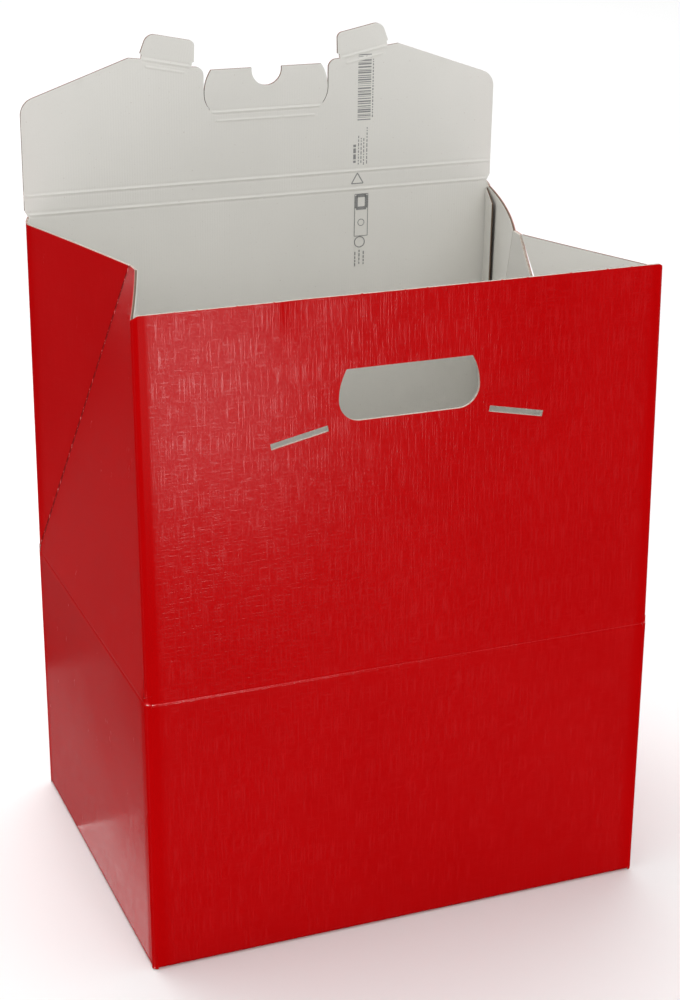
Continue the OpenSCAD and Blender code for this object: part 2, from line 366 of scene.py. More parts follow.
class Bead:
    """A pressed crease in a panel that does not fold: a round-ended bead on the liner side."""

    def __init__(self, a, b, height):
        self.a, self.b, self.height = a, b, height

    def rise(self, points):
        return self.height * bead_shape(segment_distance(points, self.a, self.b) / BEAD_R)

    def grid(self):
        """Places for vertices along the bead and a little past its ends."""
        along, aside = directions(self.a, self.b)
        steps = np.arange(-2 * BEAD_R, np.linalg.norm(self.b - self.a) + 2 * BEAD_R, 3 * MM)
        rows = np.array([-2.4, -1.7, -1.2, -0.8, -0.4, 0, 0.4, 0.8, 1.2, 1.7, 2.4]) * BEAD_R
        past = np.array([1.2, 0.6]) * BEAD_R
        ends = [self.a - along * s for s in past] + [self.b + along * s for s in past]
        return [self.a + along * s + aside * r for s in steps for r in rows] + ends


def bead_shape(t):
    """A rounded bead with a shallow trough on either side; t is 1 at the bead's edge."""
    t = np.abs(t)
    return np.exp(-(t * 1.15) ** 2 * 1.4) - 0.32 * np.exp(-((t - 1.75) / 0.45) ** 2)


def build_sheet(name, panel, loops, materials, beads=(), lift=None, extra=(), z0=0.0, thick=SHEET,
                step=8 * MM, marks=None):
    """A panel's sheet: liner face, cover face and cut edge, with beads, bows and dents."""
    rim, edges = [], []
    for loop in loops:
        first = len(rim)
        for p, q in zip(loop, loop[1:] + loop[:1]):
            rim += stepped(p, q, 4 * MM)
        count = len(rim) - first
        edges += [(first + i, first + (i + 1) % count) for i in range(count)]
    low, high = np.min(rim, 0), np.max(rim, 0)
    xs = np.arange(low[0] + step / 2, high[0], step)
    ys = np.arange(low[1] + step / 2, high[1], step)
    grid = np.array([(x, y) for y in ys for x in xs])
    # Rows close to the outline, so that a corner's smooth band has its own vertices
    borders = []
    for off in (3 * MM, 6 * MM, 10 * MM):
        borders += [(x, y) for x in (low[0] + off, high[0] - off) for y in ys]
    fine = [p for bead in beads for p in bead.grid()] + list(extra)
    keep = edge_distance(grid, loops) > 2.2 * MM
    for bead in beads:
        keep &= segment_distance(grid, bead.a, bead.b) > 3.2 * BEAD_R
    inner = list(grid[keep & inside(grid, loops)])
    for group, gap in ((borders, 1.2 * MM), (fine, 0.25 * MM)):
        if group:
            group = np.array(group)
            good = inside(group, loops) & (edge_distance(group, loops) > gap)
            inner += list(group[good])
    points = [Vector(p) for p in rim] + [Vector(p) for p in inner]
    flat, _, faces, _, _, _ = delaunay_2d_cdt(points, edges, [], 0, 1e-6)
    flat = np.array([tuple(p) for p in flat])
    middles = np.array([flat[list(f)].mean(0) for f in faces])
    faces = [tuple(f) for f, good in zip(faces, inside(middles, loops)) if good]

    n = len(flat)
    pushed = np.zeros(n) if lift is None else lift(flat[:, 0], flat[:, 1])
    rise = np.zeros(n)
    for bead in beads:
        rise = np.maximum(rise, bead.rise(flat)) if np.any(rise) else bead.rise(flat)
    inner_z = z0 + pushed - rise
    outer_z = z0 + thick + pushed - np.maximum(rise, 0) * GROOVE / BEAD_H
    verts = np.vstack([np.column_stack([flat, inner_z]), np.column_stack([flat, outer_z])])
    turned = [f if area_of(flat, f) > 0 else f[::-1] for f in faces]
    made = [f[::-1] for f in turned] + [tuple(i + n for i in f) for f in turned]
    slots = [LINER] * len(turned) + [COVER] * len(turned)
    used = {(f[i], f[(i + 1) % 3]) for f in turned for i in range(3)}
    for a, b in sorted(used):
        if (b, a) not in used:
            made.append((a, b, b + n, a + n))
            slots.append(EDGE)
    world = panel.world(verts)
    u, v = panel.blank(flat[:, 0], flat[:, 1])
    depth = np.repeat([0.0, thick], n)
    sheet = np.column_stack([np.tile(u, 2), np.tile(v, 2), depth])
    linen = linen_at(world)
    crack_and_painted_light = np.zeros(n) if marks is None else marks(flat)
    piece = make_mesh(name, world, made, slots, sheet, linen, np.tile(crack_and_painted_light, 2), materials)
    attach(piece, panel.body)
    return piece


def area_of(flat, face):
    a, b, c = (flat[i] for i in face[:3])
    return (b[0] - a[0]) * (c[1] - a[1]) - (b[1] - a[1]) * (c[0] - a[0])


def strip_path(t0, n0, turn, cut, middle):
    """Points and normals across a strip that turns by an angle between two cut-back edges."""
    if abs(turn) < 0.01:
        return np.outer(middle * cut, t0), np.tile(n0, (len(middle), 1))
    radius, angles = cut / math.tan(turn / 2), (middle + 1) / 2 * turn
    normals = np.outer(np.cos(angles), n0) + np.outer(np.sin(angles), t0)
    return normals * radius - t0 * cut - n0 * radius, normals


def build_strip(name, panel, hinge, axis, ends, t0, n0, turn, cut, crack_and_painted_light, bead=BEAD_H,
                groove=GROOVE, band=0.42 * MM):
    """The strip that carries the sheet round one crease.

    hinge is a point of the crease on the inner faces and axis the crease's direction. The strip
    runs over the crease in direction t0, with n0 outwards, and turns inwards by the angle turn.
    ends gives where it starts and stops along the axis, on its first side and on its last side.
    The crease's crack profile, a function of s from 0 to 1 along the crease, gives how cracked the cover
    is and how strong the painted highlight along it is, in a band that wide.
    """
    hinge, axis, t0, n0 = (np.array(v, float) for v in (hinge, axis, t0, n0))
    rows = 19
    run = np.linspace(-1, 1, rows)
    middle = 0.5 * (run + np.sign(run) * run**2)       # closer rows at the crease's middle
    reach = middle * cut
    path, normals = strip_path(t0, n0, turn, cut, middle)
    shape = bead_shape(reach / BEAD_R) if turn < 0.2 else np.exp(-((reach / BEAD_R) ** 2))
    dip = np.exp(-((reach / (0.8 * BEAD_R)) ** 2))
    fade = smooth((1 - np.abs(middle)) / 0.25)
    (a0, b0), (a1, b1) = ends
    length = max(abs(a1 - a0), abs(b1 - b0))
    along = np.linspace(0, 1, max(2, math.ceil(length / (4 * MM)) + 1))
    near_ends = np.array([0.6, 1.2, 1.8, 2.5]) * MM / length
    along = np.unique(np.round(np.concatenate([along, near_ends, 1 - near_ends]), 6))
    inner, outer, sheet, cracks_and_highlight = [], [], [], []
    for s in along:
        share = (middle + 1) / 2
        start, stop = a0 + (b0 - a0) * share, a1 + (b1 - a1) * share
        place = (start + (stop - start) * s)[:, None] * axis
        tail = min(s, 1 - s) * length
        round_end = float(smooth(tail / (2.5 * MM)))
        wobble = 1 + 0.12 * math.sin(s * length / (7 * MM)) + 0.08 * math.sin(s * length / (2.9 * MM))
        inner.append(hinge + place + path - normals * (bead * shape * fade * wobble * round_end)[:, None])
        outer.append(hinge + place + path + normals * (SHEET - groove * dip * fade)[:, None])
        flat = panel.local(hinge + place + t0 * reach[:, None])
        u, v = panel.blank(flat[:, 0], flat[:, 1])
        sheet.append(np.column_stack([u, v]))
        cracks_and_highlight.append(crack_and_painted_light(s) * np.exp(-((reach / band) ** 2)))
    n = len(along) * rows
    inner, outer, flat = (np.array(q).reshape(n, -1) for q in (inner, outer, sheet))
    verts = np.vstack([inner, outer])
    depth = np.repeat([0.0, SHEET], n)
    sheet = np.column_stack([np.vstack([flat, flat]), depth])
    faces, slots = [], []
    hand = np.dot(np.cross(t0, axis), n0) < 0
    for j in range(len(along) - 1):
        for i in range(rows - 1):
            a, b = j * rows + i, j * rows + i + 1
            c, d = b + rows, a + rows
            ring = (a, b, c, d) if hand else (d, c, b, a)
            faces += [tuple(k + n for k in ring[::-1]), ring]
            slots += [COVER, LINER]
    rim = [(i, i + 1) for i in range(rows - 1)]
    rim += [(j * rows + rows - 1, (j + 1) * rows + rows - 1) for j in range(len(along) - 1)]
    last = (len(along) - 1) * rows
    rim += [(last + i + 1, last + i) for i in range(rows - 1)]
    rim += [((j + 1) * rows, j * rows) for j in range(len(along) - 1)]
    for a, b in rim:
        faces.append((b, a, a + n, b + n) if hand else (a, b, b + n, a + n))
        slots.append(EDGE)
    piece = make_mesh(name, verts, faces, slots, sheet, linen_at(verts), np.tile(np.ravel(cracks_and_highlight), 2),
                      PALE)
    return piece, hinge - t0 * cut + n0 * SHEET / 2, path[-1] + normals[-1] * SHEET / 2 + hinge


# ---------------- materials


class Nodes:
    """A short way to write a node tree."""

    def __init__(self, name):
        self.material = bpy.data.materials.new(name)
        self.material.use_nodes = True
        self.tree = self.material.node_tree
        self.shader = self.tree.nodes["Principled BSDF"]

    def link(self, source, target):
        self.tree.links.new(source, target)

    def feed(self, node, values):
        """Gives a node's inputs their values, each a plain one or another node's output."""
        for key, value in values.items():
            if isinstance(value, bpy.types.NodeSocket):
                self.link(value, node.inputs[key])
            else:
                node.inputs[key].default_value = value

    def add(self, kind, values, **settings):
        node = self.tree.nodes.new(kind)
        for key, setting in settings.items():
            setattr(node, key, setting)
        self.feed(node, values)
        return node

    def surface(self, colour, roughness):
        self.feed(self.shader, {"Base Color": colour, "Roughness": roughness})

    def math(self, operation, a, b=0.0):
        return self.add("ShaderNodeMath", {0: a, 1: b}, operation=operation).outputs[0]

    def plus(self, a, b):
        return self.math("ADD", a, b)

    def times(self, a, b):
        return self.math("MULTIPLY", a, b)

    def attribute(self, name, output="Fac"):
        return self.add("ShaderNodeAttribute", {}, attribute_name=name).outputs[output]

    def along(self, letter):
        """One of the sheet's own coordinates: X and Y on the blank, Z through its thickness."""
        place = self.add("ShaderNodeSeparateXYZ", {0: self.attribute("sheet", "Vector")})
        return place.outputs[letter]

    def stretched(self, scale, detail=2.0, roughness=0.5, offset=(0, 0, 0)):
        """Noise over the sheet's own coordinates; scale is cycles per metre along each of them."""
        sheet = self.attribute("sheet", "Vector")
        place = self.add("ShaderNodeMapping", {"Vector": sheet, "Scale": scale, "Location": offset})
        values = {"Vector": place.outputs["Vector"], "Scale": 1.0, "Detail": detail,
                  "Roughness": roughness}
        return self.add("ShaderNodeTexNoise", values, noise_dimensions="3D").outputs["Fac"]

    def range(self, value, low, high, to_low=0.0, to_high=1.0):
        values = {"Value": value, "From Min": low, "From Max": high, "To Min": to_low,
                  "To Max": to_high}
        return self.add("ShaderNodeMapRange", values, clamp=True).outputs["Result"]

    def mix(self, factor, a, b):
        values = {"Factor": factor, "A": a, "B": b}
        return self.add("ShaderNodeMix", values, data_type="RGBA").outputs["Result"]

    def bump(self, height, strength, distance):
        values = {"Strength": strength, "Distance": distance, "Height": height}
        normal = self.add("ShaderNodeBump", values).outputs["Normal"]
        self.link(normal, self.shader.inputs["Normal"])


def cover_material():
    """Glossy-coated red paper with a pressed linen pattern, white where a crease has cracked it, light
    red along the creases as a painted highlight and dark red along the diagonal creases as painted shade.
    """
    n = Nodes("red_linen_paper")
    upright = n.range(n.stretched((1350, 55, 0), detail=0), 0.54, 0.70)
    across = n.range(n.stretched((100, 1300, 0), detail=0, offset=(3.1, 7.7, 0)), 0.57, 0.73)
    fine_up = n.range(n.stretched((2200, 280, 0), detail=0, offset=(7, 3, 0)), 0.48, 0.72)
    fine_across = n.range(n.stretched((300, 2200, 0), detail=0, offset=(1, 5, 0)), 0.50, 0.72)
    threads = n.math("MAXIMUM", upright, n.times(across, 0.8))
    fine = n.math("MAXIMUM", fine_up, fine_across)
    threads = n.plus(threads, n.times(fine, 0.4))
    threads = n.times(threads, n.attribute("linen"))
    grain = n.stretched((2600, 2600, 0), detail=2)
    clouds = n.stretched((9, 7, 0), detail=3)
    scuffs = n.range(n.stretched((120, 35, 0), detail=4, roughness=0.7, offset=(11, 2, 0)), 0.66, 0.74)
    red = n.mix(n.range(clouds, 0.35, 0.65), (0.440, 0.0007, 0.0013, 1), (0.466, 0.0009, 0.0016, 1))
    # The linen's threads are mixed towards a lighter red: the pattern is the paper's own, the lighter
    # colour a painted highlight of the raised threads.
    red = n.mix(n.times(threads, 0.14), red, (0.62, 0.010, 0.014, 1))
    specks = n.range(n.stretched((900, 900, 0), detail=1, offset=(5, 9, 0)), 0.36, 0.52)
    # Light red along a crease's middle: partly stretched paper, partly a painted highlight of the bent
    # crease.
    strained_and_highlight = n.times(n.range(n.attribute("crack_and_painted_light"), 0.12, 0.70), specks)
    cracked = n.times(n.range(n.attribute("crack_and_painted_light"), 0.62, 0.90), specks)
    # Dark red along the diagonal creases is painted shade, standing in for the shade down in the nearly
    # closed crease.
    crease_shade_marks = n.range(n.attribute("crack_and_painted_light"), -0.15, -0.75)
    red = n.mix(n.times(crease_shade_marks, 0.75), red, (0.085, 0.001, 0.001, 1))
    red = n.mix(strained_and_highlight, red, (0.86, 0.085, 0.095, 1))
    colour = n.mix(cracked, red, (0.80, 0.70, 0.66, 1))
    rough = n.range(n.plus(clouds, n.times(scuffs, 0.5)), 0.3, 1.2, 0.22, 0.34)
    n.surface(colour, n.math("MAXIMUM", rough, n.times(cracked, 0.9)))
    shine = n.plus(0.006, n.times(n.attribute("linen"), 0.014))
    shine = n.plus(shine, n.times(threads, 0.066))
    shine = n.times(shine, n.range(grain, 0.40, 0.60, 0.6, 1.4))
    n.link(shine, n.shader.inputs["Specular IOR Level"])
    height = n.plus(threads, n.times(grain, 0.12))
    n.bump(height, 0.6, 0.05 * MM)
    return n.material


def liner_material():
    """Matte off-white liner over fine flutes, with the linen just showing through."""
    n = Nodes("board_liner")
    fibres = n.stretched((1500, 500, 0), detail=4, roughness=0.65)
    clouds = n.stretched((14, 10, 0), detail=3, offset=(2, 4, 0))
    upright = n.range(n.stretched((760, 60, 0), detail=1.5), 0.47, 0.68)
    across = n.range(n.stretched((60, 760, 0), detail=1.5, offset=(3.1, 7.7, 0)), 0.50, 0.70)
    flutes = n.math("SINE", n.times(n.along("X"), 2 * math.pi / FLUTE))
    flutes = n.times(flutes, n.range(clouds, 0.45, 0.62))
    white = n.mix(n.range(clouds, 0.3, 0.7), (0.755, 0.742, 0.700, 1), (0.785, 0.770, 0.728, 1))
    white = n.mix(n.range(fibres, 0.55, 0.80, 0.0, 0.22), white, (0.60, 0.58, 0.54, 1))
    specks = n.range(n.stretched((700, 700, 0), detail=0, offset=(8, 1, 0)), 0.83, 0.86, 0.0, 0.25)
    white = n.mix(specks, white, (0.34, 0.25, 0.19, 1))
    n.surface(white, 0.82)
    n.shader.inputs["Specular IOR Level"].default_value = 0.25
    height = n.plus(n.times(flutes, 0.22), n.times(upright, 0.18))
    height = n.plus(height, n.times(across, 0.22))
    height = n.plus(height, n.times(fibres, 0.25))
    n.bump(height, 0.35, 0.10 * MM)
    return n.material


def edge_material(pale):
    """A raw cut edge: white liner, kraft flutes and the red cover's own thickness, with fuzz, and painted
    shade in the open flute channels.
    """
    n = Nodes("cut_edge_pale" if pale else "cut_edge_kraft")
    depth = n.along("Z")
    wave = n.math("SINE", n.times(n.plus(n.along("X"), n.along("Y")), 2 * math.pi / FLUTE))
    wave_at = n.plus(n.times(wave, 0.42 * MM), 0.85 * MM)
    gap = n.math("ABSOLUTE", n.math("SUBTRACT", depth, wave_at))
    # Painted shade: the open flute channels beside the wavy fluting are darkened.
    channel_shade = n.range(gap, 0.16 * MM, 0.26 * MM)
    fuzz = n.stretched((900, 900, 900), detail=3, roughness=0.7)
    if pale:
        core = n.mix(n.range(fuzz, 0.45, 0.62), (0.66, 0.60, 0.54, 1), (0.40, 0.27, 0.19, 1))
        core = n.mix(n.times(channel_shade, 0.35), core, (0.22, 0.15, 0.11, 1))
    else:
        core = n.mix(n.range(fuzz, 0.40, 0.65), (0.26, 0.165, 0.105, 1), (0.13, 0.080, 0.052, 1))
        core = n.mix(n.times(channel_shade, 0.75), core, (0.045, 0.03, 0.022, 1))
    liner = n.range(depth, 0.20 * MM, 0.28 * MM)
    colour = n.mix(liner, (0.68, 0.66, 0.61, 1), core)
    skin = n.range(depth, BOARD - 0.16 * MM, BOARD - 0.10 * MM)
    colour = n.mix(skin, colour, (0.50, 0.42, 0.35, 1))
    cover = n.range(depth, BOARD, BOARD + 0.05 * MM)
    n.surface(n.mix(cover, colour, (0.50, 0.05, 0.05, 1)), 0.95)
    n.bump(fuzz, 0.6, 0.15 * MM)
    return n.material


def print_material():
    n = Nodes("grey_print")
    ink = n.range(n.stretched((1400, 1400, 0), detail=3), 0.3, 0.7)
    n.surface(n.mix(ink, (0.20, 0.20, 0.20, 1), (0.33, 0.33, 0.32, 1)), 0.8)
    return n.material


def floor_material():
    n = Nodes("pale_floor")
    tone = n.range(n.add("ShaderNodeTexNoise", {"Scale": 0.7}).outputs["Fac"], 0.3, 0.7)
    n.surface(n.mix(tone, (0.91, 0.91, 0.91, 1), (0.93, 0.93, 0.93, 1)), 0.75)
    return n.material


cover, liner = cover_material(), liner_material()
kraft_edge, pale_edge = edge_material(False), edge_material(True)
KRAFT = [liner, cover, kraft_edge]
PALE = [liner, cover, pale_edge]


# ---------------- creases


def height_of(panel):
    return max(p[1] for p in panel.loops()[0])


FRONT_L, BACK_L = height_of(panels["front_gable"]), height_of(panels["back_gable"])
for name, top in (("front_gable", FRONT_L), ("back_gable", BACK_L),
                  ("front_wall", WALL_H), ("back_wall", WALL_H)):
    for side in (-IN_W, IN_W):
        smooth_lines.append(panels[name].world([(side, 0, 0), (side, top, 0)]))


def cracks_and_highlight(everywhere, *spots):
    """How cracked the cover is along a crease, and how strong its painted highlight, with spots that add
    (amount, place, reach).
    """
    def at(s):
        more = [amount * math.exp(-(((s - place) / reach) ** 2)) for amount, place, reach in spots]
        return everywhere + sum(more)
    return at


# Low amounts paint the light red highlight along a crease, high ones white cracks.
LEFT_CRACKS_AND_HIGHLIGHT = cracks_and_highlight(0.24, (0.20, 0, 0.35), (0.6, 0, 0.008))        # most at the left corner
FAINT_CRACKS_AND_HIGHLIGHT, HARDLY_CRACKED_FAINT_HIGHLIGHT = cracks_and_highlight(0.30), cracks_and_highlight(0.22)
CORNER_CRACKS_AND_HIGHLIGHT = cracks_and_highlight(0.16, (0.8, 0, 0.012))
KNUCKLE_CRACKS_AND_HIGHLIGHT = cracks_and_highlight(0.15, (0.8, 0.10, 0.16))


def strip_ends(panel, line, cut, hinge, axis, margin):
    """How far along the crease a panel's cut-back edge reaches, from one end to the other."""
    low, high = (panel.local(p)[:2] for p in line)
    for loop in panel.loops():
        at, ends = cut_ends(loop, low, high, cut)
        if at is not None:
            reach = [(panel.world([*end[-1], 0]) - hinge) @ axis for end in ends]
            return min(reach) + margin, max(reach) - margin
    raise ValueError("no edge of " + panel.name + " runs along the crease")


def add_strip(name, parent, child, cut, margins, crack_and_painted_light, **options):
    """A strip across the joint between two panels, as long on each side as that panel's edge.

    margins shorten it on the parent's side and on the child's side.
    """
    a, b = panels[parent], panels[child]
    hinge, axis = b.origin, b.axes[0]
    first, last = b.foot()
    line = [hinge + axis * (first - 6 * MM), hinge + axis * (last + 6 * MM)]
    reaches = [strip_ends(panel, line, cut, hinge, axis, margin)
               for panel, margin in ((a, margins[0]), (b, margins[1]))]
    t1, n0 = b.axes[1], a.axes[2]
    t0 = np.cross(n0, axis)
    towards = t1 if abs(t0 @ t1) > 0.9 else hinge - a.world([0, FRONT_L / 2, 0])
    t0 = t0 if t0 @ towards > 0 else -t0
    turn = math.atan2(-(t1 @ n0), t1 @ t0)
    piece, start, end = build_strip(name, a, hinge, axis, list(zip(*reaches)), t0, n0, turn, cut,
                                    crack_and_painted_light, **options)
    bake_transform(piece)


def add_wall_corner(name, panel, hinge, axis, start, stop, t0, n0):
    """A rolled corner between two panels of the straight-sided lower carton."""
    piece, _, _ = build_strip(name, panel, hinge, axis, ((start, start), (stop, stop)), t0, n0,
                              math.pi / 2, ROLL_CUT, CORNER_CRACKS_AND_HIGHLIGHT, **ROLLED)
    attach(piece, "carton")


for name, x, y in CORNERS:
    wall = panels["front_wall" if y < 0 else "back_wall"]
    add_wall_corner("wall_corner_" + name, wall, (x * IN_W, y * IN_D, 0), (0, 0, 1), 0.6 * MM, WALL_H,
                    (x, 0, 0), (0, y, 0))

# Small crumpled knuckles where a gable's rolled corners meet the upright corners below them
KNUCKLE_H = 6.5 * MM
for name, x, y in CORNERS:
    gable = panels["front_gable" if y < 0 else "back_gable"]
    foot, top = (x * IN_W, y * IN_D, WALL_H), (x * IN_W, y * IN_D, WALL_H + KNUCKLE_H)
    ends = ((-0.5 * MM, -0.5 * MM), (KNUCKLE_H, KNUCKLE_H * 0.6))
    knuckle, _, _ = build_strip("corner_knuckle_" + name, gable, foot, (0, 0, 1), ends, (x, 0, 0),
                                (0, y, 0), math.pi / 2, ROLL_CUT * 1.35, KNUCKLE_CRACKS_AND_HIGHLIGHT, bead=0,
                                groove=0.25 * MM, band=1.6 * MM)
    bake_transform(knuckle)

for name, x, y in SIDES:
    half = IN_W if y else IN_D
    axis = Vector((abs(y), abs(x), 0))
    foot = Vector((x * IN_W, y * IN_D, SHEET)) - axis * half
    add_wall_corner("bottom_edge_" + name, panels[name + "_wall"], foot, axis, ROLL_CUT,
                    2 * half - ROLL_CUT, (0, 0, -1), (x, y, 0))

WALL_SIDE = max(p[0] for p in panels["front_wall"].loops()[0])
GABLE_MARGINS = (WALL_SIDE - IN_W + ROLL_CUT, CORNER_CUT)

# Parent, child, how far both are cut back, how much shorter the strip is beside each, cracks and painted
# highlight
CREASES = [
    ("front_wall", "front_gable", FLAT_CUT, GABLE_MARGINS, LEFT_CRACKS_AND_HIGHLIGHT),
    ("back_wall", "back_gable", FLAT_CUT, GABLE_MARGINS, FAINT_CRACKS_AND_HIGHLIGHT),
    ("left_wall", "gusset_left", FLAT_CUT, (ROLL_CUT, 0), HARDLY_CRACKED_FAINT_HIGHLIGHT),
    ("right_wall", "gusset_right", FLAT_CUT, (ROLL_CUT, 0), HARDLY_CRACKED_FAINT_HIGHLIGHT),
    ("back_gable", "ridge_strip", FLAT_CUT, (CORNER_CUT, 0), FAINT_CRACKS_AND_HIGHLIGHT),
    ("ridge_strip", "lid", FLAT_CUT, (0, 0), FAINT_CRACKS_AND_HIGHLIGHT),
    ("lid", "tuck_tab_left", SMALL_CUT, (0, 0), FAINT_CRACKS_AND_HIGHLIGHT),
    ("lid", "tuck_tab_right", SMALL_CUT, (0, 0), FAINT_CRACKS_AND_HIGHLIGHT),
    ("lid", "handle_flap", SMALL_CUT, (0, 0), FAINT_CRACKS_AND_HIGHLIGHT),
]
for parent, child, cut, margins, crack_and_painted_light in CREASES:
    add_strip(child.removesuffix("_strip") + "_crease", parent, child, cut, margins, crack_and_painted_light)
for corner, _, y in CORNERS:
    gable = "front_gable" if y < 0 else "back_gable"
    add_strip("corner_crease_" + corner, gable, "facet_" + corner, CORNER_CUT, (0, 0), CORNER_CRACKS_AND_HIGHLIGHT,
              **ROLLED)

# ---------------- panels' sheets


def trimmed(name, cuts):
    """A panel's outlines from the CAD, cut back along the creases that have strips."""
    loops = panels[name].loops()
    for a, b, depth in cuts:
        loops = [cut_back(loop, a, b, depth) for loop in loops]
    return loops


def add_panel(name, loops, materials, **options):
    panel = panels[name]
    piece = build_sheet(name + "_sheet", panel, loops, materials, **options)
    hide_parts(*panel.nodes)


def sides(half, height, depth):
    """Cuts along both upright sides of a panel."""
    return [((-half, 0), (-half, height), depth), ((half, 0), (half, height), depth)]


def level(half, height, depth):
    """A cut along a level crease at that height."""
    return (-half, height), (half, height), depth


def foot_cut(name, depth):
    """A cut along the panel's own crease."""
    first, last = panels[name].foot()
    return (first, 0), (last, 0), depth


def bowed(height, width, length, seed):
    """A slow bow over the panel that fades out at its creases, with a little unevenness."""
    draw = np.random.default_rng(seed)
    phase = draw.uniform(0, 6.28, 4)

    def lift(x, y):
        across = np.sin(np.pi * np.clip(x / width + 0.5, 0, 1))
        up = np.sin(np.pi * np.clip(y / length, 0, 1))
        waves = np.sin(x * 23 + phase[0]) * np.cos(y * 19 + phase[1])
        waves = waves + 0.5 * np.sin(x * 51 + phase[2]) * np.cos(y * 43 + phase[3])
        return (height + 0.25 * MM * waves) * across * up

    return lift


# Walls
for name, half in (("front_wall", IN_W), ("back_wall", IN_W), ("left_wall", IN_D),
                   ("right_wall", IN_D)):
    side = WALL_SIDE if half == IN_W else IN_D
    depth = side - half + ROLL_CUT
    cuts = sides(side, WALL_H, depth)
    cuts += [level(side, WALL_H, FLAT_CUT), level(side, 0, SHEET + ROLL_CUT)]
    if name == "right_wall":
        cuts[1] = (*cuts[1][:2], depth + SEAM_GAP)
    add_panel(name, trimmed(name, cuts), PALE,
              lift=bowed(-0.4 * MM, 2 * half, WALL_H, len(name)))

# Gable panels
DENT_X, DENT_H = -84 * MM, 40 * MM


def front_lift(x, y):
    """The front's slight bow, with a soft dent that starts at its top edge."""
    bow = bowed(0.5 * MM, 2 * IN_W, FRONT_L * 1.35, 3)(x, y)
    right = np.clip((x - DENT_X) / (16 * MM), 0, None)
    dent = right * np.exp(1 - right) * (x > DENT_X)
    depth = smooth((y - (FRONT_L - DENT_H)) / DENT_H)
    return bow - 0.75 * MM * dent * depth


front_loops = trimmed("front_gable", sides(IN_W, FRONT_L, CORNER_CUT) + [level(IN_W, 0, FLAT_CUT)])
stop, start = sorted(p for p in front_loops[0] if p[1] > FRONT_L - 0.1 * MM)
at = front_loops[0].index(start)
nicked = toothed(start, stop, nicks(math.dist(start, stop), 24 * MM, 1.1 * MM, 0.28 * MM))
front_loops[0][at : at + 1] = nicked
dent_grid = [(DENT_X + dx * MM, FRONT_L - dy * MM) for dx in (-3, -1.5, 0, 1.5, 3, 5, 8, 12, 17, 23, 30)
             for dy in range(2, 44, 3)]
add_panel("front_gable", front_loops, PALE, lift=front_lift, extra=dent_grid)

back_cuts = sides(IN_W, BACK_L, CORNER_CUT) + [level(IN_W, 0, FLAT_CUT), level(IN_W, BACK_L, FLAT_CUT)]
add_panel("back_gable", trimmed("back_gable", back_cuts), PALE,
          lift=bowed(0.6 * MM, 2 * IN_W, BACK_L, 5))

# Gussets and facets
NICK_STEP = 9 * MM          # spacing of the white bridges along a diagonal crease


def slanted_edges(loops):
    """The diagonal creases between a gusset and its facets."""
    outline = np.array(loops[0])
    return [(p, q) for p, q in zip(outline, np.roll(outline, -1, axis=0))
            if min(abs(p - q)) > 60 * MM]


def nearly_closed(loops):
    """Lets the two sides of the diagonal creases almost touch."""
    outline = loops[0]
    for p, q in slanted_edges(loops):
        outline = cut_back(outline, p, q, -0.38 * MM)
    return [outline] + loops[1:]


def crease_shade_marks(loops):
    """Marks along the diagonal creases: a dark line of painted shade where the crease lies nearly closed,
    with white torn bridges.
    """
    edges = slanted_edges(loops)

    def marks(flat):
        worth = np.zeros(len(flat))
        for p, q in edges:
            away = segment_distance(flat, p, q)
            along = (flat - p) @ (q - p) / np.linalg.norm(q - p)
            phase = np.abs((along / NICK_STEP) % 1 - 0.5)
            # The dark line is painted shade; the torn bridges are white paper.
            line = -np.exp(-((away / (0.9 * MM)) ** 2))
            torn = (phase < 0.09) & (away < 0.5 * MM)
            worth = np.where(torn, 1.0, np.minimum(worth, line))
        return worth

    rows = []
    for p, q in edges:
        along, inward = directions(p, q)
        for s in np.arange(2 * MM, np.linalg.norm(q - p) - 2 * MM, 1.5 * MM):
            rows += [p + along * s + inward * d for d in (0.45 * MM, 1.0 * MM, 1.8 * MM)]
    return {"marks": marks, "extra": rows}


def facet_lift(amount, tip, reach):
    """A bow across a triangular facet, from nothing at its foot to the full amount at x = tip."""
    def lift(x, y):
        wide = np.maximum(x / tip * reach, 1e-4)
        share = np.clip(y / wide, 0, 1)
        return amount * 4 * share * (1 - share) * np.clip(x / tip, 0, 1) ** 1.5
    return lift


facet_lifts = {}
for name, bow in (("facet_left_front", -0.5), ("facet_right_front", -0.6), ("facet_left_rear", -0.8),
                  ("facet_right_rear", 3.0)):
    xs, ys = zip(*panels[name].loops()[0])
    low, high = min(xs), max(xs)
    loops = nearly_closed(trimmed(name, [((low, 0), (high, 0), CORNER_CUT)]))
    lift = facet_lifts[name] = facet_lift(bow * MM, max(low, high, key=abs), max(ys))
    materials = PALE if name == "facet_left_rear" else KRAFT
    add_panel(name, loops, materials, lift=lift, **crease_shade_marks(loops))


def counter_bow(gusset, facet):
    """A gusset's bow against that of the facet beside it, mirrored over the crease they share."""
    def towards_middle(panel, point, aside):
        middle = np.mean(panel.loops()[0], axis=0)
        return aside if (middle - point) @ aside > 0 else -aside

    gusset_panel, facet_panel = panels[gusset], panels[facet]
    p, q = slanted_edges(facet_panel.loops())[0]
    along, aside = directions(p, q)
    aside = towards_middle(facet_panel, p, aside)
    first, last = gusset_panel.local(facet_panel.world([(*p, 0), (*q, 0)]))[:, :2]
    run, across = directions(first, last)
    across = towards_middle(gusset_panel, first, across)

    def lift(x, y):
        place = np.column_stack([x, y]) - first
        mirrored = p + np.outer(place @ run, along) + np.outer(place @ across, aside)
        return -facet_lifts[facet](mirrored[:, 0], mirrored[:, 1])
    return lift


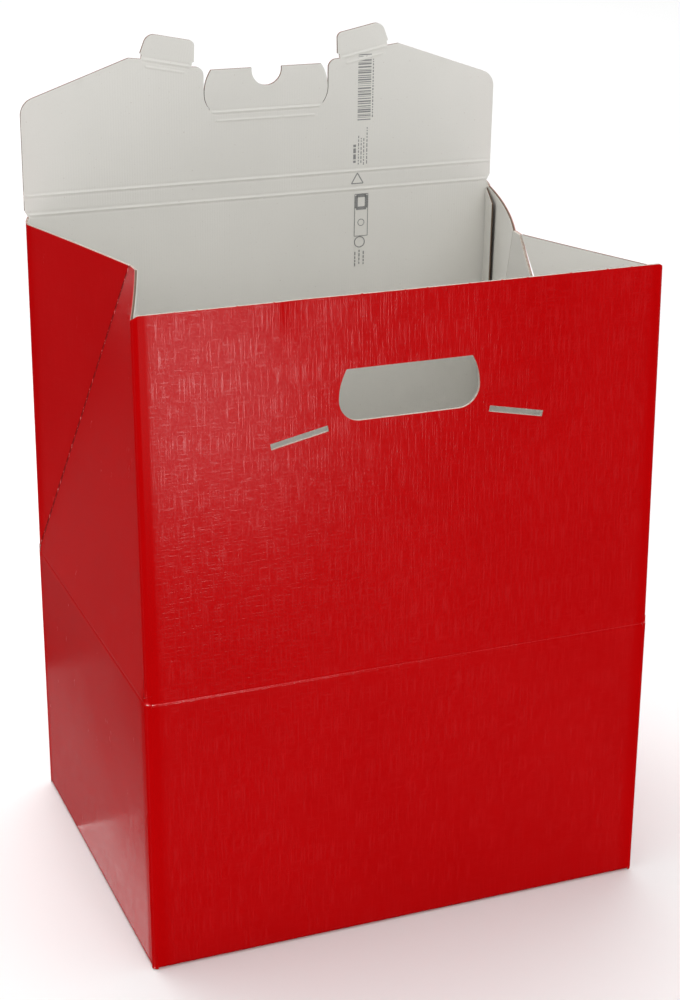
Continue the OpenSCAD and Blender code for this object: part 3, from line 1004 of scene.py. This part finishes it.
for name in ("gusset_left", "gusset_right"):
    loops = nearly_closed(trimmed(name, [foot_cut(name, FLAT_CUT)]))
    lift = counter_bow("gusset_right", "facet_right_rear") if name == "gusset_right" else None
    add_panel(name, loops, PALE, lift=lift, **crease_shade_marks(loops))

# Ridge strip, lid, tabs and handle flap
lid_panel, ridge_panel = panels["lid"], panels["ridge_strip"]
RIDGE_H = height_of(ridge_panel)
HALF_LID = max(p[0] for p in lid_panel.loops()[0])
ridge_cuts = [level(HALF_LID, 0, FLAT_CUT), level(HALF_LID, RIDGE_H, FLAT_CUT)]
add_panel("ridge_strip", trimmed("ridge_strip", ridge_cuts), KRAFT)


def crease_ends(name):
    """The two ends of a lid part's crease, in the lid's frame."""
    ends = lid_panel.local(panels[name].world([(x, 0, 0) for x in panels[name].foot()]))
    return [tuple(end[:2]) for end in ends]


def parallel(ends, drop, inset):
    """A line beside a crease, nearer the lid's own crease, shortened at both ends."""
    a, b = (np.array(end) for end in ends)
    along, aside = directions(a, b)
    aside = -aside if aside[1] > 0 else aside
    return a + along * inset + aside * drop, b - along * inset + aside * drop


flap_ends = crease_ends("handle_flap")
tab_ends = [crease_ends("tuck_tab_left"), crease_ends("tuck_tab_right")]
lid_cuts = [level(HALF_LID, 0, FLAT_CUT)] + [(*ends, SMALL_CUT) for ends in [flap_ends] + tab_ends]
lid_beads = [Bead(*parallel(flap_ends, 6.0 * MM, 3 * MM), height=0.30 * MM)]
lid_beads += [Bead(*parallel(ends, 4.6 * MM, 4 * MM), height=0.32 * MM) for ends in tab_ends]
add_panel("lid", trimmed("lid", lid_cuts), KRAFT, beads=lid_beads, step=7 * MM)
for name in ("tuck_tab_left", "tuck_tab_right", "handle_flap"):
    add_panel(name, trimmed(name, [foot_cut(name, SMALL_CUT)]), KRAFT, step=5 * MM)

# ---------------- glue flaps and bottom


def add_loose_sheet(name, panel, node, loops, materials, **options):
    """A sheet made from one CAD plate that is not part of a board and cover pair."""
    piece = build_sheet(name, panel, loops, materials, **options)
    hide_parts(node)
    return piece


CRUSHED = [liner, kraft_edge, kraft_edge]
for node, name in (("glue_flap_upper", "facet_right_rear"), ("glue_flap_lower", "right_wall")):
    add_loose_sheet(node + "_sheet", panels[name], node, cad_loops(node, panels[name]), CRUSHED,
                    z0=-SEAM, thick=SEAM * 0.98)


def ramp(x, y):
    """A side flap dips to its crease, beside the main flaps that it lies on."""
    return (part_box("bottom_left_flap")[1].z - SHEET) * smooth((np.abs(x) - IN_W + 6 * MM) / (3.6 * MM))


for side in ("front", "back"):
    nodes = ["bottom_" + side + "_board", "bottom_" + side + "_cover"]
    floor_panel = Panel("bottom_" + side, "carton", nodes, (0, 0, SHEET), (1, 0, 0), (0, 0, -1))
    y = IN_D if side == "front" else -IN_D
    loops = [cut_back(q, (-IN_W, y), (IN_W, y), ROLL_CUT) for q in cad_loops(nodes[0], floor_panel)]
    piece = add_loose_sheet("bottom_" + side + "_sheet", floor_panel, nodes[0], loops, PALE)
    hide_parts(nodes[1])
for side, x in (("left", -IN_W), ("right", IN_W)):
    node = "bottom_" + side + "_flap"
    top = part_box(node)[1].z
    flap_panel = Panel(node, "carton", [node], (0, 0, top), (1, 0, 0), (0, 0, -1))
    loops = [cut_back(q, (x, -IN_D), (x, IN_D), ROLL_CUT) for q in cad_loops(node, flap_panel)]
    add_loose_sheet(node + "_sheet", flap_panel, node, loops, KRAFT, thick=BOARD, lift=ramp)

# ---------------- generic print marks

INK = 0.05 * MM         # print stands this proud of the liner, so that it is a shape of its own


def add_print(name, panel, shapes):
    """Thin grey shapes on a panel's liner side; each is a ring of points in the panel's frame."""
    verts, faces, marks = [], [], []
    for ring in shapes:
        ring = ring if signed_area(ring) > 0 else ring[::-1]
        first, n = len(verts), len(ring)
        verts += [(x, y, z) for z in (0.02 * MM, -INK) for x, y in ring]
        marks += [(x, y, 0) for _ in range(2) for x, y in ring]
        faces.append(tuple(first + i for i in range(n)))
        faces.append(tuple(first + n + i for i in reversed(range(n))))
        faces += [(first + i, first + n + i, first + n + (i + 1) % n, first + (i + 1) % n)
                  for i in range(n)]
    n = len(verts)
    piece = make_mesh(name, panel.world(verts), faces, [0] * len(faces), marks, np.zeros(n),
                      np.zeros(n), [ink])
    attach(piece, panel.body)


def corners(x0, y0, x1, y1):
    return [(x0, y0), (x1, y0), (x1, y1), (x0, y1)]


def bar(x, y, w, h):
    return corners(x - w / 2, y - h / 2, x + w / 2, y + h / 2)


def circle(x, y, radius):
    turns = np.linspace(0, 2 * math.pi, 24, endpoint=False)
    return [(x + radius * math.cos(a), y + radius * math.sin(a)) for a in turns]


def strokes(points, w):
    """Thin bars of width w along the edges of a closed ring of points."""
    made = []
    for a, b in zip(np.array(points), np.array(points[1:] + points[:1])):
        aside = directions(a, b)[1] * w / 2
        made.append([tuple(a - aside), tuple(b - aside), tuple(b + aside), tuple(a + aside)])
    return made


def dashes(x, w, top, foot, dash):
    """An upright column of short plain dashes, in place of small print."""
    made = []
    at = top - rng.uniform(0, 3) * MM
    while at > foot + dash:
        long = dash * rng.uniform(0.5, 1.6)
        made.append(bar(x, at - long / 2, w, long))
        at -= long + 0.9 * MM
    return made


ink = print_material()
PRINT_X = -73.5 * MM        # the print strip's middle, on the panels behind the opening
lid_marks, at = [], 83 * MM
while at > 37 * MM:
    wide = rng.choice([0.35, 0.7, 1.05]) * MM
    lid_marks.append(bar(PRINT_X, at - wide / 2, 10 * MM, wide))
    at -= wide + rng.choice([0.4, 0.7, 1.1]) * MM
# Columns beside and below the bars, in millimetres: place, width, top, foot, length of a dash
COLUMNS = [(6.8, 2.0, 20, 4, 2.4), (3.8, 0.7, 26, 4, 1.6), (1.8, 0.7, 26, 4, 1.6),
           (-0.2, 0.7, 26, 4, 1.6), (-2.6, 0.7, 33, 4, 1.8), (-6.4, 0.8, 80, 38, 1.2)]
for x, w, top, foot, dash in COLUMNS:
    lid_marks += dashes(PRINT_X + x * MM, w * MM, top * MM, foot * MM, dash * MM)
add_print("print_lid", lid_panel, lid_marks)

TRIANGLE = [(PRINT_X + x * MM, y * MM) for x, y in ((-0.2, 4.0), (8.8, 4.0), (4.3, 11.6))]
add_print("print_ridge", ridge_panel, strokes(TRIANGLE, 0.8 * MM))

left_x, right_x, top_y = PRINT_X + 6.0 * MM, PRINT_X - 4.2 * MM, BACK_L - 4.0 * MM
frame_inset = 1.2 * MM
back_marks = strokes(corners(right_x, top_y - 31 * MM, left_x, top_y), 0.5 * MM)
back_marks += strokes(corners(right_x + frame_inset, top_y - 10.4 * MM, left_x - frame_inset,
                              top_y - frame_inset), 2.4 * MM)
back_marks += strokes(circle(PRINT_X + 0.9 * MM, top_y - 21 * MM, 2.4 * MM), 0.5 * MM)
back_marks += strokes(circle(PRINT_X + 1.8 * MM, top_y - 35.5 * MM, 3.9 * MM), 0.6 * MM)
for x in (-1.4, 1.9, 5.2):
    back_marks += dashes(PRINT_X + x * MM, 0.8 * MM, top_y - 41 * MM, top_y - 53 * MM, 1.6 * MM)
add_print("print_back", panels["back_gable"], back_marks)

# ---------------- camera, floor and light

CAMERA_AT = Vector((-0.48664, -1.24141, 0.76660))
CAMERA_TURN, CAMERA_TILT, CAMERA_ROLL = -21.665, 21.060, 0.337      # degrees
LENS, SENSOR = 74.795, 36.0                                          # millimetres


def add_camera():
    data = bpy.data.cameras.new("camera")
    data.lens, data.sensor_width = LENS, SENSOR
    data.clip_end = 60
    camera = add_object("camera", data)
    turn = Matrix.Rotation(math.radians(CAMERA_TURN), 4, "Z")
    tilt = Matrix.Rotation(math.radians(90 - CAMERA_TILT), 4, "X")
    roll = Matrix.Rotation(math.radians(CAMERA_ROLL), 4, "Z")
    camera.matrix_world = Matrix.Translation(CAMERA_AT) @ turn @ tilt @ roll
    bpy.context.scene.camera = camera


def add_floor():
    size, cells = 16.0, 8
    mesh = bpy.data.meshes.new("floor")
    at = [size * (i / cells - 0.5) for i in range(cells + 1)]
    verts = [(x, y, 0.0) for y in at for x in at]
    faces = [(j * (cells + 1) + i, j * (cells + 1) + i + 1, (j + 1) * (cells + 1) + i + 1,
              (j + 1) * (cells + 1) + i) for j in range(cells) for i in range(cells)]
    mesh.from_pydata(verts, [], faces)
    mesh.materials.append(floor_material())
    floor = add_object("floor", mesh)
    floor.location.z = cad_box[0].z - 0.2 * MM
    floor.visible_glossy = False
    floor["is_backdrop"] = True


def add_light(name, at, aim, size, power, lights=True, shines=True):
    """A soft rectangular lamp. It may only light surfaces, or only show in their gloss."""
    data = bpy.data.lights.new(name, "AREA")
    data.shape, data.size, data.size_y = "RECTANGLE", size[0], size[1]
    data.energy = power
    light = add_object(name, data)
    light.location = at
    light.rotation_mode = "QUATERNION"
    light.rotation_quaternion = (Vector(aim) - Vector(at)).to_track_quat("-Z", "Y")
    light.visible_camera = False
    light.visible_diffuse = lights
    light.visible_glossy = shines


def add_world(strength):
    world = bpy.data.worlds.new("studio")
    world.use_nodes = True
    world.node_tree.nodes["Background"].inputs["Color"].default_value = (1, 1, 1, 1)
    world.node_tree.nodes["Background"].inputs["Strength"].default_value = strength
    world.cycles_visibility.glossy = False
    bpy.context.scene.world = world


add_camera()
add_floor()
add_world(0.58)
add_light("key", (-0.3, -1.7, 1.2), (0, 0, 0.3), (1.2, 1.0), 10, shines=False)
add_light("overhead", (-0.4, 0.2, 2.6), (0, 0, 0.2), (1.8, 1.8), 25, shines=False)
add_light("backdrop", (0.8, 3.8, 4.0), (0.8, 3.8, 0), (6.5, 5.0), 165, shines=False)
add_light("front_sheen", (0.03, -0.78, 0.235), (-0.12, -0.13, 0.37), (0.20, 0.22), 3.9, lights=False)
add_light("left_sheen", (-0.190, -0.045, 0.004), (-0.190, -0.045, 1), (0.034, 0.20), 0.028, lights=False)
add_light("far_sheen", (-0.208, 0.185, 0.004), (-0.208, 0.185, 1), (0.066, 0.27), 0.026, lights=False)
add_light("gusset_sheen", (-0.46, 0.85, 0.004), (-0.46, 0.85, 1), (0.46, 1.1), 0.29, lights=False)
add_light("right_sheen", (0.95, -0.25, 0.45), (0.17, 0, 0.3), (0.5, 0.7), 10.0, lights=False)
add_light("back_sheen", (-0.2, 1.1, 0.5), (0, 0.13, 0.3), (0.7, 0.5), 10.0, lights=False)
bpy.context.scene.view_settings.view_transform = "Standard"

low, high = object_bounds()
